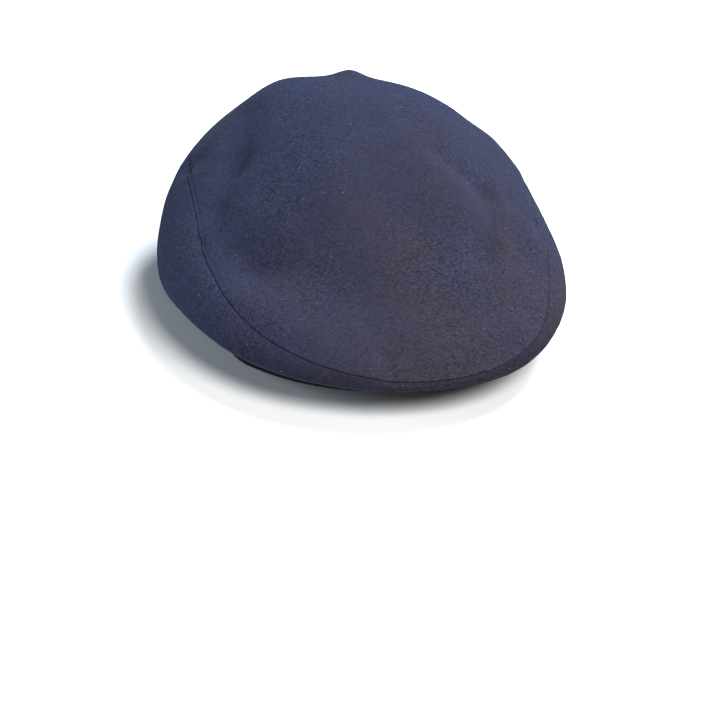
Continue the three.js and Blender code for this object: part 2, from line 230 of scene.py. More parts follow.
@dataclass(frozen=True)
class CapForm:
    """Sizes and outlines of the cap, the same as the solids'."""

    width: float = 232 * MM
    front_reach: float = 145 * MM
    back_reach: float = 125 * MM
    crown_height: float = 110 * MM
    apex_back: float = 25 * MM
    outline_power: float = 2.12
    cloth: float = 1.6 * MM
    head_length: float = 196 * MM
    head_width: float = 162 * MM
    head_back: float = 10 * MM
    band_height: float = 30 * MM
    band_wall: float = 2 * MM
    peak_thickness: float = 3.4 * MM
    peak_inset: float = 10.5 * MM
    peak_tip: float = 4 * MM
    peak_clearance: float = 2.6 * MM
    peak_lap: float = 4 * MM
    lip_drop: float = 4.6 * MM
    side_clearance: float = 3 * MM
    seam_gap: float = 0.3 * MM
    peak_half_angle: float = 75.0
    free_edge_angle: float = 38.0
    band_arch_angle: float = 50.0
    low_edge_angle: float = 105.0
    dome_power: tuple[float, float, float] = (0.9, 2.1, 3.4)
    apex_softness: float = 0.18
    shoulder: float = 0.6
    peak_fall_power: float = 1.35
    seam_lean: float = math.radians(45)
    under_fall: float = 6 * MM

    @property
    def centre_y(self) -> float:
        """Where the section centre lies, front to back."""
        return (self.front_reach - self.back_reach) / 2

    def section(self, column: str, angle: Array) -> Array:
        """Smooth value of one column of the sections.

        Args:
            column: Name of the column.
            angle: Degrees from the front towards +X.

        Returns:
            The column's share at each angle.
        """
        rows = np.array([getattr(row, column) for row in SECTIONS])
        place = (np.asarray(angle, float) % FULL_TURN) / (FULL_TURN / len(rows))
        row = np.floor(place).astype(int)
        t = place - row
        before, here, after, next_after = (rows[(row + k) % len(rows)] for k in (-1, 0, 1, 2))
        slope, slope_after = (after - before) / 2, (next_after - here) / 2
        a = 2 * here - 2 * after + slope + slope_after
        b = -3 * here + 3 * after - 2 * slope - slope_after
        return ((a * t + b) * t + slope) * t + here

    def polar(self, radius: Array, angle: Array, z: Array) -> Array:
        """Points at radii from the section centre, angles and heights."""
        turn = np.radians(angle)
        x = radius * np.sin(turn)
        y = self.centre_y - radius * np.cos(turn)
        return np.stack(np.broadcast_arrays(x, y, z), axis=-1)

    def outline_radius(self, angle: Array) -> Array:
        """Radius of the crown's outer edge at each angle."""
        turn = np.radians(angle)
        reach = np.where(np.cos(turn) > 0, self.front_reach, self.back_reach)
        across = np.abs(np.sin(turn)) / (self.width / 2)
        along = np.abs(np.cos(turn)) / reach
        return (across**self.outline_power + along**self.outline_power) ** (-1 / self.outline_power)

    def head_radius(self, angle: Array, extra: float) -> Array:
        """Radius of the head oval, made larger all round.

        Args:
            angle: Degrees from the front towards +X.
            extra: How much larger it is on every side.

        Returns:
            The radius from the section centre at each angle.
        """
        turn = np.radians(angle)
        half_width = self.head_width / 2 + extra
        half_length = self.head_length / 2 + extra
        across = np.sin(turn) / half_width
        along = -np.cos(turn) / half_length
        shift = self.head_back / half_length
        a = across**2 + along**2
        b = -2 * along * shift
        c = shift**2 - 1
        return (-b + np.sqrt(b * b - 4 * a * c)) / (2 * a)

    def release_share(self, angle: Array) -> Array:
        """Share from 0 where the cloth follows the peak's edge to 1 where it has reached the band."""
        return smoothstep(np.abs(from_front(angle)), self.free_edge_angle, self.peak_half_angle)

    def peak_root(self, angle: Array) -> Array:
        """Radius of the peak's inner edge, which seats on the band."""
        return self.head_radius(angle, self.band_wall + self.seam_gap)

    def peak_radius(self, angle: Array) -> Array:
        """Radius of the peak's outer edge at each angle."""
        edge = self.outline_radius(angle) - self.peak_inset
        return lerp(edge, self.peak_root(angle) + self.peak_tip, self.release_share(angle))

    def lower_radius(self, angle: Array) -> Array:
        """Radius at which the turned-under cloth ends."""
        on_peak = self.outline_radius(angle) - self.peak_inset - self.peak_lap
        return lerp(on_peak, self.peak_root(angle), self.release_share(angle))

    def edge_height(self, angle: Array) -> Array:
        """Height of the crown's outer edge at each angle."""
        return self.section("edge", angle) * self.crown_height

    def peak_top(self, angle: Array) -> Array:
        """Height of the peak's upper face at each angle."""
        front = self.edge_height(0.0) - self.lip_drop - self.seam_gap
        end = self.peak_clearance + self.peak_thickness
        along = np.minimum(np.abs(from_front(angle)) / self.peak_half_angle, 1)
        return lerp(front, end, along**self.peak_fall_power)

    def lower_height(self, angle: Array) -> Array:
        """Height of the turned-under cloth where it ends."""
        share = smoothstep(np.abs(from_front(angle)), self.peak_half_angle, self.low_edge_angle)
        return lerp(self.peak_top(angle) + self.seam_gap, self.side_clearance, share)

    def band_rim(self, angle: Array) -> Array:
        """Height of the band's lower rim at each angle."""
        along = np.minimum(np.abs(from_front(angle)) / self.band_arch_angle, 1)
        arch = self.peak_top(0.0) - self.peak_thickness - self.peak_clearance
        return arch * np.cos(along * math.pi / 2) ** 2

    def power_at(self, angle: Array) -> Array:
        """How late the top panel falls away from the apex at each angle."""
        back = (1 - np.cos(np.radians(angle))) / 2
        front, side, behind = self.dome_power
        middle = 4 * side * back * (1 - back)
        return front * (1 - back) * (1 - 2 * back) + middle + behind * back * (2 * back - 1)

    def dome_fall(self, angle: Array, level: Array) -> Array:
        """Share of the fall from apex to seam that the top panel has reached at each level."""
        soft = self.apex_softness * np.maximum(np.cos(np.radians(angle)), 0) ** 2
        rounded = (np.hypot(level, soft) - soft) / (np.hypot(1, soft) - soft)
        return rounded ** self.power_at(angle)

    def seam_points(self, angle: Array, depth: float) -> Array:
        """Points of the seam at a depth inside the cloth."""
        radius = self.outline_radius(angle) - self.section("inset", angle) * self.width / 2
        height = self.section("seam", angle) * self.crown_height
        lean_in, lean_down = math.sin(self.seam_lean), math.cos(self.seam_lean)
        return self.polar(radius - depth * lean_in, angle, height - depth * lean_down)

    def smooth_crown(self, levels: Array, angles: Array, depth: float) -> Array:
        """The crown without its folds.

        Args:
            levels: 0 at the apex, 1 at the seam, 2 at the outer edge, 3 at the lower edge.
            angles: Degrees from the front towards +X.
            depth: Depth inside the cloth, 0 for its outer face.

        Returns:
            Points, one row for each level and one column for each angle.
        """
        level = np.asarray(levels, float)[:, None]
        seam = self.seam_points(angles, depth)[None]
        apex = np.array([0, self.centre_y + self.apex_back, self.crown_height - depth])
        top = lerp(apex, seam, np.minimum(level, 1)[..., None])
        fall = self.dome_fall(np.asarray(angles, float), np.minimum(level, 1))
        top[..., 2] = lerp(apex[2], seam[..., 2], fall)
        edge = self.polar(self.outline_radius(angles) - depth, angles, self.edge_height(angles))[None]
        shoulder = edge.copy()
        shoulder[..., 2] = lerp(edge[..., 2], seam[..., 2], self.shoulder)
        t = np.clip(level - 1, 0, 1)[..., None]
        side = (1 - t) ** 2 * seam + 2 * t * (1 - t) * shoulder + t * t * edge
        under = self.under_points(np.clip(level - 2, 0, 1), angles, depth)
        return np.where(level[..., None] <= 1, top, np.where(level[..., None] <= 2, side, under))

    def under_points(self, share: Array, angles: Array, depth: float) -> Array:
        """Turned-under cloth: straight down at first, then round towards the lower edge."""
        edge_radius = self.outline_radius(angles) - depth
        edge_z = self.edge_height(angles)
        end_z = self.lower_height(angles) + depth
        fall = np.minimum(edge_z - end_z, self.under_fall - depth)
        start, middle, end = (1 - share) ** 2, 2 * share * (1 - share), share**2
        radius = (start + middle) * edge_radius + end * self.lower_radius(angles)
        return self.polar(radius, angles, start * edge_z + middle * (edge_z - fall) + end * end_z)

    def fold_move(self, points: Array, levels: Array, angles: Array) -> Array:
        """How far the folds move each point of the smooth crown.

        Args:
            points: Outer face of the smooth crown.
            levels: Its levels.
            angles: Its angles.

        Returns:
            One move for each point.
        """
        height = np.zeros(points.shape[:-1])
        for fold in MAIN_FOLDS + FINE_FOLDS:
            start = self.smooth_crown([fold.level], [fold.angle], 0)[0, 0]
            end = self.smooth_crown([fold.to_level], [fold.to_angle], 0)[0, 0]
            line = end - start
            along = np.clip((points - start) @ line / (line @ line), 0, 1)
            distance = np.linalg.norm(points - start - along[..., None] * line, axis=-1)
            height += fold.height * bell(distance, fold.width * self.width / 2)
        level = np.asarray(levels, float)[:, None]
        height *= self.crown_height * (1 - smoothstep(level, 1, 2))
        lean = np.minimum(level, 2) * math.pi / 4
        turn = np.radians(angles)[None]
        direction = np.stack(
            np.broadcast_arrays(np.sin(turn) * np.sin(lean), -np.cos(turn) * np.sin(lean), np.cos(lean)),
            axis=-1,
        )
        return direction * height[..., None]


FORM = CapForm()


def surface_normals(grid: Array) -> Array:
    """Outward unit normals of a grid whose last column joins the first."""
    down = np.gradient(grid, axis=0)
    across = np.roll(grid, -1, axis=1) - np.roll(grid, 1, axis=1)
    normal = np.cross(down, across)
    return normal / np.maximum(np.linalg.norm(normal, axis=-1, keepdims=True), TINY)


def arc_lengths(grid: Array, axis: int) -> Array:
    """Distance along a grid's rows or columns from its first, in metres."""
    steps = np.linalg.norm(np.diff(grid, axis=axis), axis=-1)
    start = np.zeros_like(np.take(steps, [0], axis=axis))
    return np.cumsum(np.concatenate([start, steps], axis=axis), axis=axis)


def ring(grid: Array) -> Array:
    """A grid with its first column again at the end."""
    return np.concatenate([grid, grid[:, :1]], axis=1)


def drawn_back(edge: Array, beside: Array, back: float) -> Array:
    """An edge's points, moved towards the points beside them."""
    way = beside - edge
    return edge + way / np.linalg.norm(way, axis=-1, keepdims=True) * back


def quads(rows: Array, flip: bool = False) -> Array:
    """Four-sided faces between neighbouring rows of point numbers.

    Args:
        rows: Numbers by row and column, with the first column again at the end of a ring.
        flip: Whether the faces look the other way.

    Returns:
        Four numbers for each face.
    """
    a, b = rows[:-1, :-1], rows[1:, :-1]
    c, d = rows[1:, 1:], rows[:-1, 1:]
    corners = (a, d, c, b) if flip else (a, b, c, d)
    return np.stack(corners, axis=-1).reshape(-1, 4)


def linked(name: str, data: bpy.types.ID) -> Object:
    """Makes an object of some data and links it to the scene."""
    made = bpy.data.objects.new(name, data)
    bpy.context.scene.collection.objects.link(made)
    return made


def mesh_object(name: str, points: Array, edges: list, faces: list) -> Object:
    """Makes a mesh and its object, linked to the scene."""
    mesh = bpy.data.meshes.new(name)
    mesh.from_pydata(points.tolist(), edges, faces)
    return linked(name, mesh)


class MeshBuilder:
    """Collects points, faces and their pattern coordinates, and makes an object of them."""

    def __init__(self) -> None:
        """Starts with nothing."""
        self.points: list[Array] = []
        self.uvs: list[Array] = []
        # Painted highlight of each point, pale towards the crown's lower edge in front.
        self.painted_highlight: list[Array] = []
        self.faces: list[Array] = []
        self.count = 0

    def add_grid(self, grid: Array, uv: Array, painted_highlight: Array) -> Array:
        """Adds a grid of points.

        Args:
            grid: Points by row and column.
            uv: Place of each point on its flat cloth, in metres.
            painted_highlight: How strongly the painted highlight along the crown's lower edge shows at each
                point, from 0 to 1.

        Returns:
            The number of each point.
        """
        size = grid.shape[0] * grid.shape[1]
        self.points.append(grid.reshape(-1, 3))
        self.uvs.append(uv.reshape(-1, 2))
        self.painted_highlight.append(painted_highlight.reshape(-1))
        numbers = np.arange(self.count, self.count + size).reshape(grid.shape[:2])
        self.count += size
        return numbers

    def add_strips(self, rows: Array, flip: bool = False) -> None:
        """Adds the faces between neighbouring rows of numbers, flipped if asked."""
        self.faces.append(quads(rows, flip))

    def build(self, name: str, material: Material) -> Object:
        """Makes the object, linked to the scene, from points that may repeat in a face."""
        faces = [tuple(dict.fromkeys(face)) for face in np.concatenate(self.faces).tolist()]
        piece = mesh_object(name, np.concatenate(self.points), [], [face for face in faces if len(face) > 2])
        mesh = piece.data
        mesh.polygons.foreach_set("use_smooth", [True] * len(mesh.polygons))
        corners = np.zeros(len(mesh.loops), int)
        mesh.loops.foreach_get("vertex_index", corners)
        uv = np.concatenate(self.uvs)[corners].astype(np.float32).ravel()
        mesh.uv_layers.new(name="cloth").data.foreach_set("uv", uv)
        painted_highlight = np.concatenate(self.painted_highlight).astype(np.float32)
        # The painted highlight along the lower edge is kept as an attribute for the material.
        mesh.attributes.new("painted_highlight", "FLOAT", "POINT").data.foreach_set("value", painted_highlight)
        mesh.set_sharp_from_angle(angle=SHARP_ANGLE)
        mesh.materials.append(material)
        mesh.update()
        return piece


class NodeTree:
    """A short way to add and join the nodes of one tree."""

    def __init__(self, tree: Group) -> None:
        """Works on a tree."""
        self.tree = tree

    def feed(self, socket: Socket, value: object) -> None:
        """Joins a socket to an input, or sets the input's value."""
        if isinstance(value, Socket):
            self.tree.links.new(value, socket)
        else:
            socket.default_value = value

    def add(self, kind: str, inputs: dict | None = None, **settings: object) -> bpy.types.Node:
        """Adds a node.

        Args:
            kind: The node's type.
            inputs: Values or sockets for its inputs, by name or number.
            settings: Its own settings.

        Returns:
            The node.
        """
        node = self.tree.nodes.new(kind)
        for key, value in settings.items():
            setattr(node, key, value)
        for key, value in (inputs or {}).items():
            self.feed(node.inputs[key], value)
        return node

    def math(self, operation: str, *values: object, clamp: bool = False) -> Socket:
        """Result of a math node on numbers or sockets."""
        node = self.add("ShaderNodeMath", dict(enumerate(values)), operation=operation, use_clamp=clamp)
        return node.outputs[0]

    def times(self, *values: object, clamp: bool = False) -> Socket:
        """Product of two numbers or sockets, plus the third if there is one."""
        return self.math("MULTIPLY_ADD" if len(values) > 2 else "MULTIPLY", *values, clamp=clamp)

    def mix(self, share: object, first: object, second: object) -> Socket:
        """Mix of two colours."""
        return self.add("ShaderNodeMix", {0: share, 6: first, 7: second}, data_type="RGBA").outputs[2]

    def ramp(self, value: object, low: float, high: float) -> Socket:
        """Share from 0 to 1 of a value between low and high, smoothed."""
        inputs = {"Value": value, "From Min": low, "From Max": high}
        return self.add("ShaderNodeMapRange", inputs, interpolation_type="SMOOTHSTEP").outputs[0]

    def noise(self, vector: object, scale: float, detail: float = 2.0, roughness: float = 0.5) -> Socket:
        """Value of a noise texture."""
        inputs = {"Vector": vector, "Scale": scale, "Detail": detail, "Roughness": roughness}
        return self.add("ShaderNodeTexNoise", inputs).outputs["Fac"]

    def stretched(self, vector: object, scale: tuple[float, float, float]) -> Socket:
        """A vector scaled along its axes."""
        return self.add("ShaderNodeMapping", {"Vector": vector, "Scale": scale}).outputs[0]

    def bump(self, strength: float, distance: float, height: Socket) -> Socket:
        """Normal of a bump of some depth in metres."""
        inputs = {"Strength": strength, "Distance": distance, "Height": height}
        return self.add("ShaderNodeBump", inputs).outputs[0]

    def surface(self, inputs: dict) -> None:
        """Ends a material with a Principled node that has these inputs."""
        shader = self.add("ShaderNodeBsdfPrincipled", inputs)
        self.feed(self.add("ShaderNodeOutputMaterial").inputs[0], shader.outputs[0])

    def grain(self, given: bpy.types.NodeOutputs) -> Socket:
        """A small long ball of the group's Length and Thickness."""
        inputs = {"Segments": GRAIN_SEGMENTS, "Rings": GRAIN_RINGS, "Radius": 0.5}
        ball = self.add("GeometryNodeMeshUVSphere", inputs).outputs[0]
        sizes = {0: given["Length"], 1: given["Thickness"], 2: given["Thickness"]}
        scale = self.add("ShaderNodeCombineXYZ", sizes).outputs[0]
        return self.add("GeometryNodeTransform", {"Geometry": ball, "Scale": scale}).outputs[0]

    def lay(self, inputs: dict, material: Material) -> Socket:
        """Lays instances on points, makes them real and gives them their finish."""
        laid = self.add("GeometryNodeInstanceOnPoints", inputs).outputs[0]
        real = self.add("GeometryNodeRealizeInstances", {"Geometry": laid}).outputs[0]
        return self.add("GeometryNodeSetMaterial", {"Geometry": real, "Material": material}).outputs[0]


def new_group(
    name: str, kind: str, inputs: dict[str, str], outputs: dict[str, str]
) -> tuple[NodeTree, bpy.types.NodeOutputs, bpy.types.NodeInputs]:
    """Starts a node group.

    Args:
        name: Its name.
        kind: Its type of tree.
        inputs: The type of each input, by name.
        outputs: The type of each output, by name.

    Returns:
        Its tree, the sockets that give its inputs and those that take its outputs.
    """
    group = bpy.data.node_groups.new(name, kind)
    for direction, sockets in (("INPUT", inputs), ("OUTPUT", outputs)):
        for socket, value in sockets.items():
            group.interface.new_socket(socket, in_out=direction, socket_type=f"NodeSocket{value}")
    tree = NodeTree(group)
    return tree, tree.add("NodeGroupInput").outputs, tree.add("NodeGroupOutput").inputs


def new_material(name: str) -> tuple[Material, NodeTree]:
    """Starts a material without nodes, and gives it with its tree."""
    material = bpy.data.materials.new(name)
    material.use_nodes = True
    material.node_tree.nodes.clear()
    return material, NodeTree(material.node_tree)


def weave_group() -> Group:
    """Plain weave with slubs: uneven threads that show as short light and dark dashes.

    Returns:
        A group from cloth coordinates in metres to the weave's height and tone, from 0 to 1.
    """
    inputs, outputs = {"Cloth": "Vector", "Threads": "Float"}, {"Height": "Float", "Tone": "Float"}
    tree, given, result = new_group("slub_weave", "ShaderNodeTree", inputs, outputs)
    parts = tree.add("ShaderNodeSeparateXYZ", {0: given["Cloth"]}).outputs
    waves, half_waves, slubs = [], [], []
    for across, along, per_metre in ((1, 0, WEFT_SLUBS), (0, 1, WARP_SLUBS)):
        phase = tree.times(tree.times(parts[across], given["Threads"]), math.tau)
        waves.append(tree.math("SINE", phase))
        half_waves.append(tree.math("SINE", tree.times(phase, 0.5)))
        thread = tree.math("FLOOR", tree.times(parts[across], given["Threads"], THREAD_START))
        place = {0: tree.times(parts[along], per_metre), 1: tree.times(thread, THREAD_STEP)}
        slubs.append(tree.noise(tree.add("ShaderNodeCombineXYZ", place).outputs[0], 1.0, 2.0, 0.6))
    weave = tree.times(tree.times(*half_waves), 0.14, tree.times(tree.math("ADD", *waves), 0.18, 0.5))
    long_slubs = tree.noise(tree.stretched(given["Cloth"], LONG_SLUBS), 1.0, 3.0, 0.6)
    slub = tree.times(slubs[1], 0.23, tree.times(slubs[0], 0.65, tree.times(long_slubs, 0.12)))
    tree.feed(result["Height"], tree.math("ADD", tree.times(weave, 0.45), tree.times(slub, 0.9)))
    tree.feed(result["Tone"], tree.times(weave, 0.12, tree.times(slub, 0.95), clamp=True))
    return tree.tree


def fleck_group() -> Group:
    """Sparse pale flecks spun into the threads.

    Returns:
        A group from cloth coordinates in metres to a mask of the flecks.
    """
    inputs = {"Cloth": "Vector", "Share": "Float", "Size": "Float"}
    tree, given, result = new_group("pale_flecks", "ShaderNodeTree", inputs, {"Mask": "Float"})
    place = {"Vector": tree.stretched(given["Cloth"], FLECK_CELLS), "Scale": 1.0}
    cells = tree.add("ShaderNodeTexVoronoi", place, voronoi_dimensions="2D").outputs
    chance = tree.add("ShaderNodeSeparateColor", {0: cells["Color"]}).outputs
    chosen = tree.math("GREATER_THAN", given["Share"], chance[0])
    size = tree.times(given["Size"], tree.times(chance[1], 0.8, 0.4))
    near = tree.math("DIVIDE", tree.math("SUBTRACT", size, cells["Distance"]), size, clamp=True)
    tree.feed(result["Mask"], tree.times(chosen, tree.times(near, 1.6, clamp=True), clamp=True))
    return tree.tree


@dataclass(frozen=True)
class ClothFinish:
    """Finish of one cloth. Its colours are linear; its plum grows towards the front and its blue towards the
    sides as a painted colour cast of the light, and it can carry painted shade low in front.
    """

    name: str
    blue: Color
    plum: Color
    threads_per_metre: float = 1400.0
    contrast: float = 0.52
    tone_range: tuple[float, float] = (0.385, 0.685)
    bump: float = 0.18
    bump_depth: float = 0.35 * MM
    fleck_share: float = 0.08
    fleck_size: float = 0.07
    fleck_color: Color = (0.12, 0.125, 0.165)
    # Colour of the painted highlight along the crown's lower edge.
    painted_highlight_color: Color = (0.2, 0.21, 0.3)
    patches_per_metre: float = 26.0
    plum_bias: float = 0.0
    # Painted shade: how much darker the cloth is painted low down in front, and where that starts and ends.
    low_shade: float = 0.0
    low_start: float = 18 * MM
    low_end: float = -26 * MM
    # How much of that painted highlight is mixed into the colour.
    painted_highlight_strength: float = 0.1
    roughness: float = 0.9
    sheen: float = 0.02

    def ground(self, tree: NodeTree, place: Socket, where: bpy.types.NodeOutputs) -> Socket:
        """Colour between blue and plum: in soft patches, which are the cloth's own, and by place, plummer
        towards the front and bluer towards the sides, which is painted colour of the light.

        Args:
            tree: The material's tree.
            place: Place in space.
            where: Its x, y and z.

        Returns:
            The colour.
        """
        patches = tree.noise(place, self.patches_per_metre, 3.0, 0.6)
        # Painted light: plum towards the front stands for warm light bounced from below, and blue towards the
        # sides, most at -X, for cool fill light.
        sideways = tree.times(where[0], 1.6, tree.times(tree.math("ABSOLUTE", where[0]), -1.2))
        drift = tree.times(patches, 0.9, tree.math("ADD", tree.times(where[1], -2.6), sideways))
        plum_share = tree.ramp(tree.math("ADD", drift, self.plum_bias), 0.15, 0.95)
        return tree.mix(plum_share, (*self.blue, 1), (*self.plum, 1))

    def shade(self, tree: NodeTree, place: Socket, where: bpy.types.NodeOutputs, tone: Socket) -> Socket:
        """How light the cloth is: its weave's tone, weaker in thin patches, and darker low in front, which is
        painted shade.

        Args:
            tree: The material's tree.
            place: Place in space.
            where: Its x, y and z.
            tone: The weave's tone.

        Returns:
            A factor near 1.
        """
        low, high = self.tone_range
        inputs = {"Value": tone, "From Min": low, "From Max": high, "To Min": -1.0, "To Max": 1.0}
        swing = tree.add("ShaderNodeMapRange", inputs).outputs[0]
        thin = tree.ramp(tree.noise(place, 17.0, 2.0), 0.35, 0.65)
        contrast = tree.times(thin, 0.5 * self.contrast, 0.6 * self.contrast)
        # Painted shade, darker low down in front.
        painted_low_shade = tree.ramp(tree.times(where[1], 0.35, where[2]), self.low_start, self.low_end)
        return tree.times(tree.times(swing, contrast, 1.0), tree.times(painted_low_shade, -self.low_shade, 1.0))

    def material(self, weave: Group, flecks: Group) -> Material:
        """Builds the material.

        Args:
            weave: The weave's group.
            flecks: The flecks' group.

        Returns:
            The material.
        """
        material, tree = new_material(self.name)
        cloth = tree.add("ShaderNodeUVMap", uv_map="cloth").outputs[0]
        place = tree.add("ShaderNodeTexCoord").outputs["Object"]
        where = tree.add("ShaderNodeSeparateXYZ", {0: place}).outputs
        threads = {"Cloth": cloth, "Threads": self.threads_per_metre}
        woven = tree.add("ShaderNodeGroup", threads, node_tree=weave).outputs
        shade = self.shade(tree, place, where, woven["Tone"])
        factors = {0: self.ground(tree, place, where), 1: shade}
        toned = tree.add("ShaderNodeVectorMath", factors, operation="MULTIPLY").outputs[0]
        sizes = {"Cloth": cloth, "Share": self.fleck_share, "Size": self.fleck_size}
        mask = tree.add("ShaderNodeGroup", sizes, node_tree=flecks).outputs["Mask"]
        # Painted highlight: a pale line mixed into the colour along the crown's lower edge in front.
        painted_highlight_share = tree.add("ShaderNodeAttribute", attribute_name="painted_highlight").outputs["Fac"]
        flecked = tree.mix(mask, toned, (*self.fleck_color, 1))
        tree.surface(
            {
                "Base Color": tree.mix(tree.times(painted_highlight_share, self.painted_highlight_strength), flecked, (*self.painted_highlight_color, 1)),
                "Roughness": self.roughness,
                "Specular IOR Level": 0.0,
                "Sheen Weight": self.sheen,
                "Sheen Roughness": 0.5,
                "Normal": tree.bump(self.bump, self.bump_depth, woven["Height"]),
            }
        )
        return material


@dataclass(frozen=True)
class ThreadFinish:
    """Finish of a sewing thread or a wisp of lint."""

    name: str
    color: Color
    roughness: float = 0.9
    twist_per_metre: float = 900.0
    twist_depth: float = 0.1 * MM

    def material(self) -> Material:
        """Builds the material, with a fine twist along the thread."""
        material, tree = new_material(self.name)
        tone = tree.noise(tree.add("ShaderNodeTexCoord").outputs["Object"], self.twist_per_metre, 2.0)
        darker = tuple(0.6 * part for part in self.color)
        tree.surface(
            {
                "Base Color": tree.mix(tone, (*darker, 1), (*self.color, 1)),
                "Roughness": self.roughness,
                "Specular IOR Level": 0.1,
                "Normal": tree.bump(0.3, self.twist_depth, tone),
            }
        )
        return material


def dress(piece: Object, slot: str, *nodes: str) -> None:
    """Rides a piece on the body and hides the nodes it stands for."""
    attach(piece, BODY)
    if nodes:
        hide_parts(*nodes)
    LOG.info("%s: %d faces", piece.name, len(piece.data.polygons))


def finish_nodes(piece: Object, group: Group, sizes: dict[str, float]) -> None:
    """Runs a Geometry Nodes group on a piece and keeps its result as a plain mesh.

    Args:
        piece: What the group starts from.
        group: The group.
        sizes: Values of its named inputs.
    """
    modifier = piece.modifiers.new(group.name, "NODES")
    modifier.node_group = group
    for socket in group.interface.items_tree:
        if socket.item_type == "SOCKET" and socket.in_out == "INPUT" and socket.name in sizes:
            modifier[socket.identifier] = sizes[socket.name]
    bpy.context.view_layer.update()
    evaluated = piece.evaluated_get(bpy.context.evaluated_depsgraph_get())
    mesh = bpy.data.meshes.new_from_object(evaluated)
    piece.modifiers.remove(modifier)
    piece.data = mesh


def stitch_group(thread: Material) -> Group:
    """Stitches laid along a line of points that carry the cloth's upward direction.

    Args:
        thread: Finish of the thread.

    Returns:
        A Geometry Nodes group.
    """
    inputs = {"Geometry": "Geometry", "Spacing": "Float", "Length": "Float", "Thickness": "Float"}
    tree, given, result = new_group("stitches", "GeometryNodeTree", inputs, {"Geometry": "Geometry"})
    line = tree.add("GeometryNodeMeshToCurve", {"Mesh": given["Geometry"]}).outputs[0]
    even = tree.add("GeometryNodeResampleCurve", {"Curve": line, "Length": given["Spacing"]}, mode="LENGTH")
    upward = tree.add("GeometryNodeInputNamedAttribute", {"Name": "upward"}, data_type="FLOAT_VECTOR")
    onward = tree.add("GeometryNodeInputTangent").outputs[0]
    first = tree.add("FunctionNodeAlignEulerToVector", {"Vector": onward}, axis="X").outputs[0]
    upright = {"Rotation": first, "Vector": upward.outputs[0]}
    turned = tree.add("FunctionNodeAlignEulerToVector", upright, axis="Z", pivot_axis="X").outputs[0]
    stitch = tree.grain(given)
    laid = {"Points": even.outputs[0], "Instance": stitch, "Rotation": turned}
    tree.feed(result[0], tree.lay(laid, thread))
    return tree.tree


def lint_group(lint: Material) -> Group:
    """Short pale fibres scattered over a surface.

    Args:
        lint: Finish of the fibres.

    Returns:
        A Geometry Nodes group.
    """
    inputs = {"Geometry": "Geometry", "Density": "Float", "Length": "Float", "Thickness": "Float"}
    inputs["Seed"] = "Int"
    tree, given, result = new_group("lint", "GeometryNodeTree", inputs, {"Geometry": "Geometry"})
    scattered = {"Mesh": given["Geometry"], "Density": given["Density"], "Seed": given["Seed"]}
    points = tree.add("GeometryNodeDistributePointsOnFaces", scattered, distribute_method="RANDOM").outputs
    turn = tree.add("FunctionNodeRandomValue", {"Seed": given["Seed"]}, data_type="FLOAT").outputs[1]
    spin = tree.times(tree.math("SUBTRACT", turn, 0.5), LINT_SPIN)
    about = tree.add("ShaderNodeCombineXYZ", {2: spin}).outputs[0]
    rotations = {0: points["Rotation"], 1: about}
    turned = tree.add("FunctionNodeRotateRotation", rotations, rotation_space="LOCAL").outputs[0]
    low, high = LINT_SCALES
    grow = tree.add("FunctionNodeRandomValue", {2: low, 3: high, "Seed": given["Seed"]}, data_type="FLOAT")
    fibre = tree.grain(given)
    laid = {"Points": points["Points"], "Instance": fibre, "Rotation": turned, "Scale": grow.outputs[1]}
    tree.feed(result[0], tree.lay(laid, lint))
    return tree.tree


@dataclass
class StitchRow:
    """A row of stitches along a line on the cloth."""

    name: str
    points: Array
    upward: Array
    closed: bool = True
    spacing: float = 3.1 * MM
    length: float = 2.4 * MM
    thickness: float = 0.24 * MM

    def build(self, group: Group) -> None:
        """Builds the row with the stitches' group."""
        count = len(self.points)
        edges = [(i, (i + 1) % count) for i in range(count if self.closed else count - 1)]
        row = mesh_object(self.name, self.points, edges, [])
        upward = row.data.attributes.new("upward", "FLOAT_VECTOR", "POINT")
        upward.data.foreach_set("vector", self.upward.astype(np.float32).ravel())
        sizes = {"Spacing": self.spacing, "Length": self.length, "Thickness": self.thickness}
        finish_nodes(row, group, sizes)
        dress(row, "cloth")


@dataclass
class Lint:
    """Pale fibres that cling to the crown, with their number on each square metre."""

    density: float = 2600.0
    length: float = 0.9 * MM
    thickness: float = 0.15 * MM
    seed: int = 5

    def build(self, surface: Array, group: Group) -> None:
        """Builds the fibres on a grid of points with the lint's group."""
        numbers = np.arange(surface.shape[0] * surface.shape[1]).reshape(surface.shape[:2])
        piece = mesh_object("lint", surface.reshape(-1, 3), [], quads(numbers).tolist())
        sizes = {"Density": self.density, "Length": self.length, "Thickness": self.thickness}
        finish_nodes(piece, group, sizes | {"Seed": self.seed})
        dress(piece, "cloth")


@dataclass(frozen=True)
class CrownFaces:
    """The crown's outer face, inner face and painted highlight, by level and angle."""

    outer: Array
    inner: Array
    painted_highlight: Array


